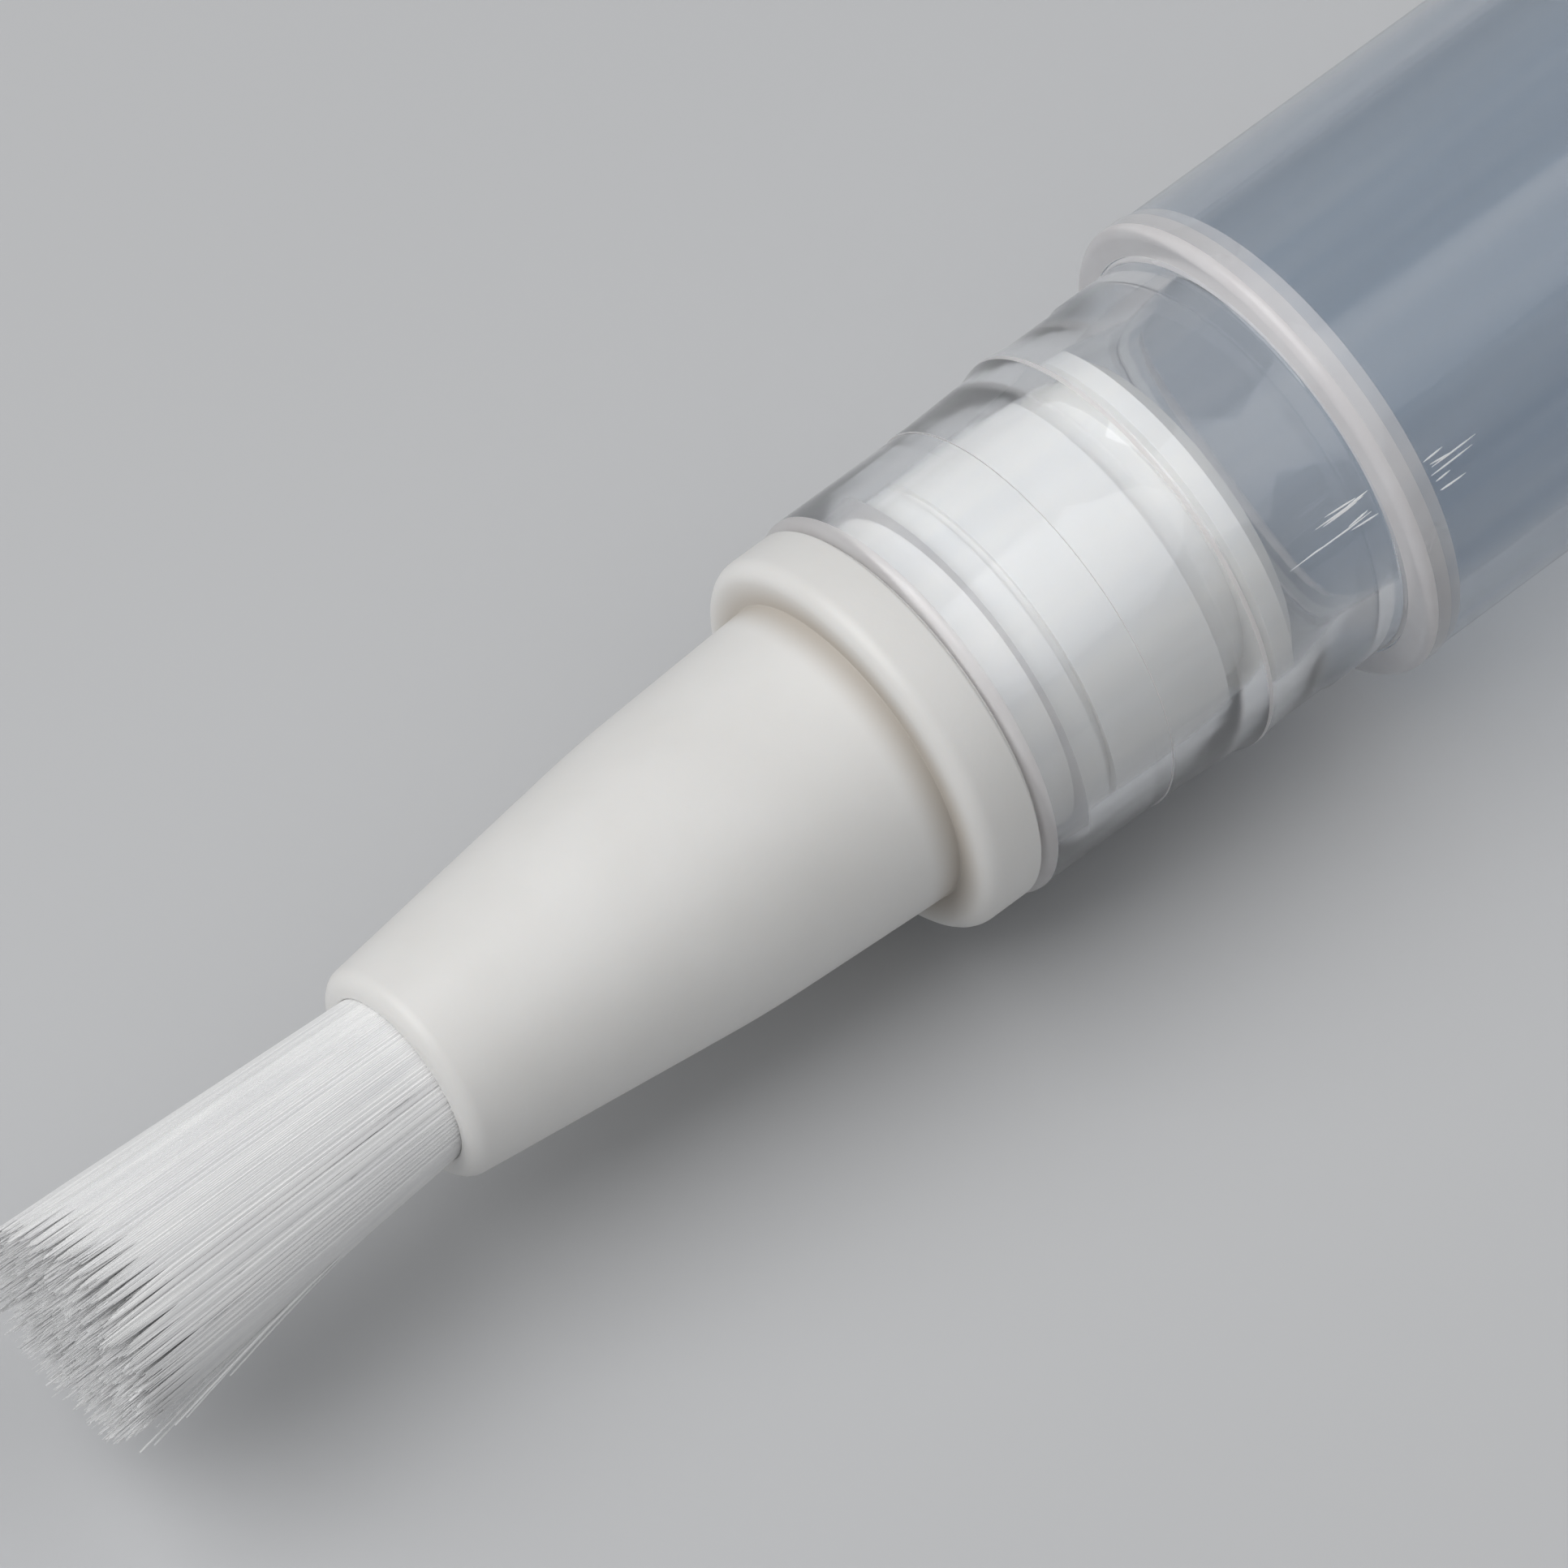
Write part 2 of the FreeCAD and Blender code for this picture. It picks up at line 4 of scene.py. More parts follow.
import bmesh
import bpy
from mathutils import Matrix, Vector


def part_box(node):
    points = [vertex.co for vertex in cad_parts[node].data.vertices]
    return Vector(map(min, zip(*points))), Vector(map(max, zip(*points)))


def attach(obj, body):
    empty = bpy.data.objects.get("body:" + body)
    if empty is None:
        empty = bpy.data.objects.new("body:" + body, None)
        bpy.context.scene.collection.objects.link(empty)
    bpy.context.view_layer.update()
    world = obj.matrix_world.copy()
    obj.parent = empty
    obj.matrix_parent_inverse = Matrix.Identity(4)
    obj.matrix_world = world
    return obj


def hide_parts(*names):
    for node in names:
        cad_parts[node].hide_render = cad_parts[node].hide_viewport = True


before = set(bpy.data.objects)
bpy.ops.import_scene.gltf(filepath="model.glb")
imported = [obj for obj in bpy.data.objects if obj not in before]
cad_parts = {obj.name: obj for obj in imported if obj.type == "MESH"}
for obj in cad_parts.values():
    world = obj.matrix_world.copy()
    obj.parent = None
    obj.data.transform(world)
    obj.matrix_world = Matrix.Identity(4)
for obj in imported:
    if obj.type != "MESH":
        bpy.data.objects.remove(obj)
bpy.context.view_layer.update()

# Barrel: one clear moulding of polypropylene, with its shoulder and the neck that the cap snaps on.
# The mould leaves faint lines along the wall, and the rim of the shoulder and the lip are milky.
# Places along the pen's axis are in millimetres from the shoulder, positive towards the knob.
mm = 0.001
neck_length = 9.56
barrel_low, barrel_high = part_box("barrel")
shoulder_place = barrel_low.x + neck_length * mm
axis_height = (barrel_low.z + barrel_high.z) / 2
barrel_end = (barrel_high.x - shoulder_place) / mm
rim_radius = (barrel_high.z - axis_height) / mm
barrel_radius = 5.5
bore_radius = 4.6
seat_radius = 4.8
neck_radius = 4.62
neck_bore_radius = 3.97
recess_end = -neck_length + 1.2
lip_recess_radius = 4.3
neck_step_place = -6.2
neck_step_radius = 4.65
ramp_place = -5.74
bead_front = -4.14
bead_front_radius = 4.72
bead_place = -3.69
bead_radius = 4.85
bead_back = -2.94
neck_waist_radius = 4.77
neck_root_place = -1.7
neck_root_ease = 0.15
neck_root_radius = 4.82
rim_length = 0.6
rim_ease = 0.3
front_wall = 0.5
inner_lip_round = 0.05
rim_round = 0.25
step_round = 0.01
bead_round = 0.06
plain_round = 0.12
barrel_end_round = 0.2
front_cone_end = front_wall + bore_radius - neck_bore_radius
pen_axis = Vector((1, 0, 0))
merge_distance = 0.0005
strand_merge_distance = 0.00005
level_margin = 0.001
touch = 0.01
crease_angle = math.radians(34)


def node_span(node):
    """Front and back of a CAD node along the axis."""
    low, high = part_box(node)
    return (low.x - shoulder_place) / mm, (high.x - shoulder_place) / mm


def turned(corners, sides=160):
    """Mesh turned about the axis from (place, radius) corners; a third number rounds its corner."""
    bm = bmesh.new()
    verts = [bm.verts.new((corner[0], 0, corner[1])) for corner in corners]
    for first, second in zip(verts, verts[1:] + verts[:1]):
        if first.co.z or second.co.z:
            bm.edges.new((first, second))
    for vert, corner in zip(verts, corners):
        if len(corner) > 2:
            bmesh.ops.bevel(
                bm, geom=[vert], offset=corner[2], offset_type="OFFSET", affect="VERTICES",
                segments=6, profile=0.5, material=-1,
            )
    bmesh.ops.spin(
        bm, geom=bm.verts[:] + bm.edges[:], axis=pen_axis, cent=(0, 0, 0), dvec=(0, 0, 0),
        angle=math.tau, steps=sides, use_merge=True,
    )
    bmesh.ops.remove_doubles(bm, verts=bm.verts[:], dist=merge_distance)
    bmesh.ops.recalc_face_normals(bm, faces=bm.faces[:])
    return bm


def off_axis(point):
    """Distance of a point from the axis."""
    return math.hypot(point.y, point.z)


def across_axis(radius, angle):
    """Point off the pen's axis, as a vector across it."""
    return Vector((0, radius * math.cos(angle), radius * math.sin(angle)))


def place_piece(bm, name, node, body, slot, *materials):
    """Piece modelled in millimetres, put in a node's place on the pen, smooth between its edges."""
    bmesh.ops.scale(bm, vec=(mm, mm, mm), verts=bm.verts[:])
    bmesh.ops.translate(bm, vec=(shoulder_place, 0, axis_height), verts=bm.verts[:])
    mesh = bpy.data.meshes.new(name)
    bm.to_mesh(mesh)
    bm.free()
    mesh.shade_smooth()
    mesh.set_sharp_from_angle(angle=crease_angle)
    for material in materials:
        mesh.materials.append(material)
    piece = bpy.data.objects.new(name, mesh)
    bpy.context.scene.collection.objects.link(piece)
    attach(piece, body)
    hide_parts(node)
    return piece


def strand_mesh(name, thickness, strands):
    """Mesh of thin strands, each a list of (place off the axis, share of the thickness) points."""
    curve = bpy.data.curves.new(name, "CURVE")
    curve.dimensions = "3D"
    curve.bevel_depth = thickness
    curve.bevel_resolution = 0
    curve.use_fill_caps = True
    for strand in strands:
        spline = curve.splines.new("POLY")
        spline.points.add(len(strand) - 1)
        for point, (place, share) in zip(spline.points, strand):
            point.co = (*place, 1)
            point.radius = share
    curve_object = bpy.data.objects.new(name, curve)
    bpy.context.scene.collection.objects.link(curve_object)
    mesh = bpy.data.meshes.new_from_object(
        curve_object.evaluated_get(bpy.context.evaluated_depsgraph_get())
    )
    bpy.data.objects.remove(curve_object)
    closed = bmesh.new()
    closed.from_mesh(mesh)
    bmesh.ops.remove_doubles(closed, verts=closed.verts[:], dist=strand_merge_distance)
    closed.to_mesh(mesh)
    closed.free()
    return mesh


def add_node(tree, kind, **inputs):
    """Node whose inputs are set to values, or linked where one is another node's output."""
    node = tree.nodes.new("ShaderNode" + kind)
    for name, value in inputs.items():
        socket = node.inputs[name.replace("_", " ")]
        if isinstance(value, bpy.types.NodeSocket):
            tree.links.new(value, socket)
        else:
            socket.default_value = value
    return node


def color_ramp(tree, factor, *stops):
    """Colour ramp with (position, colour) stops."""
    ramp = add_node(tree, "ValToRGB", Fac=factor)
    elements = ramp.color_ramp.elements
    while len(elements) < len(stops):
        elements.new(1)
    for element, (position, color) in zip(elements, stops):
        element.position = position
        element.color = (*color, 1)
    return ramp.outputs["Color"]


def new_material(name):
    """Material with its node tree and its one Principled shader."""
    material = bpy.data.materials.new(name)
    material.use_nodes = True
    return material, material.node_tree, material.node_tree.nodes["Principled BSDF"]


flow_lines = bpy.data.node_groups.new("flow_lines", "ShaderNodeTree")
for socket_name, way, kind in (
    ("Vector", "INPUT", "NodeSocketVector"),
    ("Along", "INPUT", "NodeSocketFloat"),
    ("Across", "INPUT", "NodeSocketFloat"),
    ("Height", "OUTPUT", "NodeSocketFloat"),
):
    flow_lines.interface.new_socket(socket_name, in_out=way, socket_type=kind)
flow_in = flow_lines.nodes.new("NodeGroupInput")
flow_out = flow_lines.nodes.new("NodeGroupOutput")
flow_scale = add_node(
    flow_lines, "CombineXYZ", X=flow_in.outputs["Along"], Y=flow_in.outputs["Across"],
    Z=flow_in.outputs["Across"],
)
flow_place = add_node(
    flow_lines, "Mapping", Vector=flow_in.outputs["Vector"], Scale=flow_scale.outputs["Vector"]
)
flow_noise = add_node(
    flow_lines, "TexNoise", Vector=flow_place.outputs["Vector"], Scale=1.0, Detail=3.0, Roughness=0.55
)
flow_lines.links.new(flow_noise.outputs["Fac"], flow_out.inputs["Height"])


def add_flow_lines(tree, along, across):
    """Streaks that run along the pen, with so many to a metre along it and across it."""
    place = add_node(tree, "TexCoord")
    group = tree.nodes.new("ShaderNodeGroup")
    group.node_tree = flow_lines
    tree.links.new(place.outputs["Object"], group.inputs["Vector"])
    group.inputs["Along"].default_value = along
    group.inputs["Across"].default_value = across
    return group.outputs["Height"]


def clear_plastic(name, body_color, streak_color, transmission, roughness):
    """Clear polypropylene, slightly hazy, with faint streaks in tint and surface, and a light shadow."""
    material, tree, surface = new_material(name)
    streaks = add_flow_lines(tree, along=40, across=900)
    tint = color_ramp(tree, streaks, (0.35, body_color), (0.65, streak_color))
    tree.links.new(tint, surface.inputs["Base Color"])
    waves = add_flow_lines(tree, along=60, across=500)
    bump = add_node(tree, "Bump", Strength=0.45, Distance=0.00004, Height=waves)
    tree.links.new(bump.outputs["Normal"], surface.inputs["Normal"])
    surface.inputs["Roughness"].default_value = roughness
    surface.inputs["IOR"].default_value = 1.49
    surface.inputs["Transmission Weight"].default_value = transmission
    light_path = add_node(tree, "LightPath")
    through = add_node(tree, "BsdfTransparent", Color=(0.77, 0.772, 0.774, 1))
    mix = add_node(tree, "MixShader", Fac=light_path.outputs["Is Shadow Ray"])
    tree.links.new(surface.outputs["BSDF"], mix.inputs[1])
    tree.links.new(through.outputs["BSDF"], mix.inputs[2])
    tree.links.new(mix.outputs["Shader"], tree.nodes["Material Output"].inputs["Surface"])
    return material


barrel_plastic = clear_plastic(
    "barrel_plastic", (0.54, 0.605, 0.685), (0.68, 0.72, 0.77), transmission=0.82, roughness=0.09
)
neck_plastic = clear_plastic(
    "neck_plastic", (0.88, 0.90, 0.93), (0.95, 0.96, 0.97), transmission=0.94, roughness=0.07
)
rim_plastic = clear_plastic(
    "milky_rim", (0.86, 0.83, 0.83), (0.9, 0.88, 0.88), transmission=0.45, roughness=0.3
)
scratched_plastic = clear_plastic(
    "scratched_plastic", (0.92, 0.92, 0.93), (0.97, 0.97, 0.97), transmission=0.1, roughness=0.45
)
chamber_end, nut_back = node_span("rod_nut")
barrel = turned([
    (-neck_length, lip_recess_radius, inner_lip_round),
    (-neck_length, neck_radius, rim_round),
    (neck_step_place, neck_radius),
    (neck_step_place, neck_step_radius, step_round),
    (ramp_place, neck_step_radius),
    (bead_front, bead_front_radius),
    (bead_place, bead_radius, bead_round),
    (bead_back, neck_waist_radius),
    (neck_root_place, neck_waist_radius),
    (neck_root_place + neck_root_ease, neck_root_radius),
    (0, neck_root_radius, plain_round),
    (0, rim_radius, rim_round),
    (rim_length, rim_radius),
    (rim_length + rim_ease, barrel_radius),
    (barrel_end, barrel_radius, barrel_end_round),
    (barrel_end, seat_radius),
    (chamber_end, seat_radius),
    (chamber_end, bore_radius),
    (front_cone_end, bore_radius),
    (front_wall, neck_bore_radius),
    (recess_end, neck_bore_radius),
    (recess_end, lip_recess_radius),
])
shoulder_face_end = 0.24
lip_face_end = -neck_length + 0.22
face_margin = 0.05
for face in barrel.faces:
    middle = face.calc_center_median()
    radius = off_axis(middle)
    on_shoulder = radius > neck_root_radius + face_margin and -touch < middle.x < shoulder_face_end
    on_lip = middle.x < lip_face_end
    on_step = min(abs(middle.x - recess_end), abs(middle.x - neck_step_place)) < touch
    in_cone = front_wall - touch < middle.x < front_cone_end and radius < bore_radius
    on_bead = abs(middle.x - bead_place) < face_margin and radius > bead_radius - face_margin
    if on_shoulder or on_lip or on_step or on_bead or in_cone:
        face.material_index = 2
    elif middle.x < front_wall:
        face.material_index = 1

# Drag marks from the mould cross the shoulder on one side, as fine white scratches along the pen.
mark_draw = random.Random(5)
mark_thickness = 0.022
mark_count = 14
mark_angles = (138, 147)
mark_lean = 0.012
mark_shape = ((0, 0.3), (0.3, 1), (0.7, 0.9), (1, 0.2))
neck_mark_start = (-0.5, -0.1)
neck_mark_reach = (-1.3, -0.5)
long_mark_reach = -2.2
barrel_mark_start = (0.95, 1.1)
barrel_mark_reach = (0.4, 1.3)
drag_marks = []
for index in range(mark_count):
    if index < mark_count // 2:
        start = mark_draw.uniform(*neck_mark_start)
        reach = mark_draw.uniform(*neck_mark_reach) if index else long_mark_reach
    else:
        start = mark_draw.uniform(*barrel_mark_start)
        reach = mark_draw.uniform(*barrel_mark_reach)
    angle = math.radians(mark_draw.uniform(*mark_angles))
    lean = mark_draw.uniform(-mark_lean, mark_lean)
    mark = []
    for share, thickness in mark_shape:
        place = start + reach * share
        radius = barrel_radius
        if place <= neck_root_place:
            radius = neck_waist_radius
        elif place <= 0:
            radius = neck_root_radius
        mark.append((pen_axis * place + across_axis(radius, angle + lean * share), thickness))
    drag_marks.append(mark)
marks_mesh = strand_mesh("drag_marks", mark_thickness, drag_marks)
face_count = len(barrel.faces)
barrel.from_mesh(marks_mesh)
barrel.faces.ensure_lookup_table()
for face in barrel.faces[face_count:]:
    face.material_index = 3
bpy.data.meshes.remove(marks_mesh)
place_piece(
    barrel, "clear_barrel", "barrel", "barrel", "clear_plastic", barrel_plastic, neck_plastic, rim_plastic,
    scratched_plastic,
)

# Rod nut: white polypropylene, pressed into the barrel from behind until its disc meets the step.
# The hub carries the thread that drives the rod, and six ribs hold the hub in the middle.
seated_radius = 4.78
nut_disc_back = chamber_end + 1.2
nut_hub_radius = 3.2
nut_bore_radius = 2.01
nut_rib_front = nut_disc_back + 0.03
nut_chamfer = 0.1
rib_count = 6
nut_rib_half_angle = math.radians(10)
mechanism_sides = 144
wall_margin = 0.02
soft_round = 0.15
thread_pitch = 2.0
thread_depth = 0.35


def white_plastic(name, color, shade, roughness):
    """White moulded polypropylene: satin, faintly mottled, with light that soaks a little way in."""
    material, tree, surface = new_material(name)
    place = add_node(tree, "TexCoord")
    mottle = add_node(tree, "TexNoise", Vector=place.outputs["Object"], Scale=420.0, Detail=3.0)
    tone = color_ramp(tree, mottle.outputs["Fac"], (0.3, shade), (0.7, color))
    tree.links.new(tone, surface.inputs["Base Color"])
    grain = add_node(tree, "TexNoise", Vector=place.outputs["Object"], Scale=5200.0, Detail=2.0)
    bump = add_node(tree, "Bump", Strength=0.12, Distance=0.00003, Height=grain.outputs["Fac"])
    tree.links.new(bump.outputs["Normal"], surface.inputs["Normal"])
    gloss = add_node(
        tree, "MapRange", Value=mottle.outputs["Fac"], From_Min=0.3, From_Max=0.7,
        To_Min=roughness - 0.04, To_Max=roughness + 0.04,
    )
    tree.links.new(gloss.outputs["Result"], surface.inputs["Roughness"])
    surface.inputs["IOR"].default_value = 1.49
    surface.inputs["Subsurface Weight"].default_value = 0.12
    surface.inputs["Subsurface Radius"].default_value = (1.0, 0.85, 0.7)
    surface.inputs["Subsurface Scale"].default_value = 0.3 * mm
    return material


def lifted(bm, faces):
    """Faces raised off their piece with walls behind them; returns the corners to move."""
    copy = bmesh.ops.extrude_face_region(bm, geom=faces)["geom"]
    bmesh.ops.delete(bm, geom=faces, context="FACES")
    return [item for item in copy if isinstance(item, bmesh.types.BMVert)]


def turn_from(point, angle):
    """Angle of a point about the axis from a line along the pen."""
    return (math.atan2(point.z, point.y) - angle + math.pi) % math.tau - math.pi


def band_faces(bm, places, radius, middle_angle, half_angle):
    """Faces of a round wall between two places and within an angle of a line along the axis."""
    picked = []
    for face in bm.faces:
        middle = face.calc_center_median()
        on_wall = abs(off_axis(middle) - radius) < wall_margin and abs(face.normal.x) < 0.5
        within = abs(turn_from(middle, middle_angle)) < half_angle
        if on_wall and within and places[0] < middle.x < places[1]:
            picked.append(face)
    return picked


def add_bars(bm, count, places, radius, height, half_angle):
    """Straight bars along the axis, evenly spaced on a round wall; a negative height sinks them."""
    for index in range(count):
        angle = math.pi / 2 + index * math.tau / count
        corners = lifted(bm, band_faces(bm, places, radius, angle, half_angle))
        bmesh.ops.translate(bm, vec=across_axis(height, angle), verts=corners)


mechanism_plastic = white_plastic(
    "mechanism_plastic", (0.83, 0.83, 0.82), (0.80, 0.80, 0.785), roughness=0.4
)
rod_nut = turned([
    (chamber_end, nut_bore_radius, soft_round),
    (chamber_end, seated_radius, plain_round),
    (nut_disc_back, seated_radius, plain_round),
    (nut_disc_back, nut_hub_radius),
    (nut_rib_front, nut_hub_radius),
    (nut_back - nut_chamfer, nut_hub_radius),
    (nut_back, nut_hub_radius - nut_chamfer),
    (nut_back, nut_bore_radius, soft_round),
], sides=mechanism_sides)
nut_rib_places = (nut_rib_front, nut_back - nut_chamfer)
nut_rib_height = seated_radius - nut_hub_radius
add_bars(rod_nut, rib_count, nut_rib_places, nut_hub_radius, nut_rib_height, nut_rib_half_angle)
place_piece(rod_nut, "threaded_nut", "rod_nut", "barrel", "white_plastic", mechanism_plastic)

# Guide sleeve: white polypropylene, pressed in behind the nut. The drive tube turns inside it.
# Pockets between six ribs keep its wall thin, and its back face carries the fixed ratchet teeth.
sleeve_back = nut_back + 18.5
sleeve_waist_radius = 4.23
sleeve_land_length = 2.6
barb_step = nut_back + 2.2
barb_bore_radius = 3.81
guide_radius = 3.26
fine_round = 0.1
tooth_count = 24
tooth_height = 0.45
tooth_inner_radius = 3.45
tooth_outer_radius = 4.35
tooth_pitch = math.tau / tooth_count


def add_teeth(bm, base, rise):
    """Saw teeth on the ring of a face across the axis; rise is their height, signed along the axis."""
    for index in range(tooth_count):
        start = index * tooth_pitch
        faces = []
        for face in bm.faces:
            middle = face.calc_center_median()
            turn = (math.atan2(middle.z, middle.y) - start) % math.tau
            on_ring = tooth_inner_radius < off_axis(middle) < tooth_outer_radius
            if abs(middle.x - base) < level_margin and on_ring and turn < tooth_pitch:
                faces.append(face)
        for vert in lifted(bm, faces):
            turn = math.atan2(vert.co.z, vert.co.y) - start
            share = ((turn + tooth_pitch / 4) % math.tau - tooth_pitch / 4) / tooth_pitch
            vert.co.x += rise * (1 - share if rise > 0 else share)
    bmesh.ops.remove_doubles(bm, verts=bm.verts[:], dist=merge_distance)


guide_sleeve = turned([
    (nut_back, barb_bore_radius, fine_round),
    (nut_back, seated_radius, plain_round),
    (nut_back + sleeve_land_length, seated_radius),
    (sleeve_back - sleeve_land_length, seated_radius),
    (sleeve_back, seated_radius, plain_round),
    (sleeve_back, tooth_outer_radius),
    (sleeve_back, tooth_inner_radius),
    (sleeve_back, guide_radius),
    (barb_step, guide_radius),
    (barb_step, barb_bore_radius),
], sides=mechanism_sides)
pocket_places = (nut_back + sleeve_land_length, sleeve_back - sleeve_land_length)
pocket_half_angle = math.radians(22.5)
pocket_scale = sleeve_waist_radius / seated_radius
for index in range(rib_count):
    pocket_angle = math.pi / 2 + (index + 0.5) * math.tau / rib_count
    pocket = band_faces(guide_sleeve, pocket_places, seated_radius, pocket_angle, pocket_half_angle)
    bmesh.ops.scale(guide_sleeve, vec=(1, pocket_scale, pocket_scale), verts=lifted(guide_sleeve, pocket))
add_teeth(guide_sleeve, sleeve_back, tooth_height)
place_piece(guide_sleeve, "toothed_sleeve", "guide_sleeve", "barrel", "white_plastic", mechanism_plastic)

# Ratchet ring: white polypropylene, slid over the drive tube so that its six keys run in the keyways.
# Its teeth hop over the sleeve's teeth at every click.
ratchet_front = sleeve_back + 2 * tooth_height + 0.1
ratchet_back = ratchet_front + 2.0
ratchet_radius = 4.5
key_count = 6
key_depth = 0.4
key_half_angle = math.radians(7.5)
ratchet_ring = turned([
    (ratchet_front, guide_radius),
    (ratchet_front, tooth_inner_radius),
    (ratchet_front, tooth_outer_radius),
    (ratchet_front, ratchet_radius, fine_round),
    (ratchet_back, ratchet_radius, soft_round),
    (ratchet_back, guide_radius, fine_round),
], sides=mechanism_sides)
key_places = (ratchet_front, ratchet_back - fine_round)
add_bars(ratchet_ring, key_count, key_places, guide_radius, -key_depth, key_half_angle)
add_teeth(ratchet_ring, ratchet_front, -tooth_height)
place_piece(ratchet_ring, "toothed_ring", "ratchet_ring", "knob", "white_plastic", mechanism_plastic)

# Click spring: bright spring wire, wound four turns round the drive tube between the ratchet ring and
# the collar. It presses the teeth together.
spring_front, spring_back = node_span("click_spring")
spring_wire_radius = 0.225
spring_radius = 3.85
spring_turns = 4
spring_steps = 64
wire_sides = 12
spring_climb = (spring_back - spring_front - 2 * spring_wire_radius) / (spring_turns * spring_steps)
click_spring = bmesh.new()
wire_ring = bmesh.ops.create_circle(
    click_spring, cap_ends=False, radius=spring_wire_radius, segments=wire_sides
)
bmesh.ops.translate(
    click_spring, vec=(spring_front + spring_wire_radius, spring_radius, 0), verts=wire_ring["verts"]
)
bmesh.ops.spin(
    click_spring, geom=click_spring.verts[:] + click_spring.edges[:], axis=pen_axis, cent=(0, 0, 0),
    dvec=(spring_climb, 0, 0), angle=math.tau * spring_turns, steps=spring_steps * spring_turns,
)
wire_ends = [edge for edge in click_spring.edges if edge.is_boundary]
bmesh.ops.holes_fill(click_spring, edges=wire_ends, sides=wire_sides)
bmesh.ops.recalc_face_normals(click_spring, faces=click_spring.faces[:])

spring_steel, steel_tree, steel_surface = new_material("spring_wire")
steel_place = add_node(steel_tree, "TexCoord")
steel_noise = add_node(
    steel_tree, "TexNoise", Vector=steel_place.outputs["Object"], Scale=2600.0, Detail=4.0
)
steel_tone = color_ramp(
    steel_tree, steel_noise.outputs["Fac"], (0.3, (0.42, 0.42, 0.43)), (0.7, (0.62, 0.62, 0.63))
)
steel_tree.links.new(steel_tone, steel_surface.inputs["Base Color"])
steel_gloss = add_node(
    steel_tree, "MapRange", Value=steel_noise.outputs["Fac"], From_Min=0.3, From_Max=0.7,
    To_Min=0.2, To_Max=0.36,
)
steel_tree.links.new(steel_gloss.outputs["Result"], steel_surface.inputs["Roughness"])
steel_surface.inputs["Metallic"].default_value = 1.0
place_piece(click_spring, "coiled_wire", "click_spring", "knob", "spring_steel", spring_steel)

# Drive tube: white polypropylene. Its barbed fingers snap into the sleeve, its keyed web turns the rod,
# its collar runs in the barrel's end, and its splined shank carries the knob.
tube_front, shank_end = node_span("drive_tube")
tube_radius = 3.2
tube_bore_radius = 2.3
barb_radius = 3.75
barb_nose_end = tube_front + 0.9
barb_back = tube_front + 2.0
finger_end = tube_front + 3.6
finger_slot_half_angle = math.radians(7.5)
crisp_round = 0.08
key_front = finger_end + 0.6
key_back = key_front + 3.0
key_hole_radius = 2.01
key_half_flat = 1.46
collar_front = ratchet_back + 6.1
collar_radius = 4.74
knob_front, knob_end = node_span("knob")
shank_radius = 4.3
shank_chamfer = 0.3
keyway_half_angle = math.radians(10)
spline_count = 12
spline_depth = 0.5
spline_inset = 0.04
spline_half_angle = math.radians(7.5)
finger_count = 4
drive_tube = turned([
    (tube_front, tube_bore_radius),
    (tube_front, tube_radius),
    (barb_nose_end, barb_radius),
    (barb_back, barb_radius, crisp_round),
    (barb_back, tube_radius),
    (finger_end, tube_radius),
    (sleeve_back, tube_radius),
    (collar_front, tube_radius),
    (collar_front, collar_radius, soft_round),
    (knob_front, collar_radius, soft_round),
    (knob_front, shank_radius),
    (knob_front + spline_inset, shank_radius),
    (shank_end - shank_chamfer, shank_radius),
    (shank_end, shank_radius - shank_chamfer),
    (shank_end, tube_bore_radius),
    (key_back, tube_bore_radius),
    (key_back, key_hole_radius),
    (key_front, key_hole_radius),
    (key_front, tube_bore_radius),
    (finger_end, tube_bore_radius),
], sides=mechanism_sides)
for vert in drive_tube.verts:
    in_web = key_front - touch < vert.co.x < key_back + touch
    if in_web and off_axis(vert.co) < key_hole_radius + touch:
        vert.co.z = max(-key_half_flat, min(key_half_flat, vert.co.z))
for index in range(finger_count):
    slot_angle = index * math.tau / finger_count
    slot_faces = []
    for face in drive_tube.faces:
        middle = face.calc_center_median()
        if middle.x < finger_end and abs(turn_from(middle, slot_angle)) < finger_slot_half_angle:
            slot_faces.append(face)
    bmesh.ops.delete(drive_tube, geom=slot_faces, context="FACES")
    slot_rim = [edge for edge in drive_tube.edges if edge.is_boundary]
    slot_corners = []
    for edge in slot_rim:
        front, back = sorted(edge.verts, key=lambda vert: vert.co.x)
        if front.co.x < finger_end - level_margin < back.co.x:
            slot_corners.append(back)
    slot_corners.sort(key=lambda vert: turn_from(vert.co, slot_angle))
    for outer, inner in (slot_corners[:2], slot_corners[2:]):
        slot_rim.append(drive_tube.edges.new((outer, inner)))
    bmesh.ops.edgenet_fill(drive_tube, edges=slot_rim)
keyway_places = (sleeve_back, collar_front)
add_bars(drive_tube, key_count, keyway_places, tube_radius, -key_depth, keyway_half_angle)
spline_places = (knob_front + spline_inset, shank_end - shank_chamfer)
add_bars(drive_tube, spline_count, spline_places, shank_radius, -spline_depth, spline_half_angle)
bmesh.ops.recalc_face_normals(drive_tube, faces=drive_tube.faces[:])
place_piece(drive_tube, "splined_tube", "drive_tube", "knob", "white_plastic", mechanism_plastic)

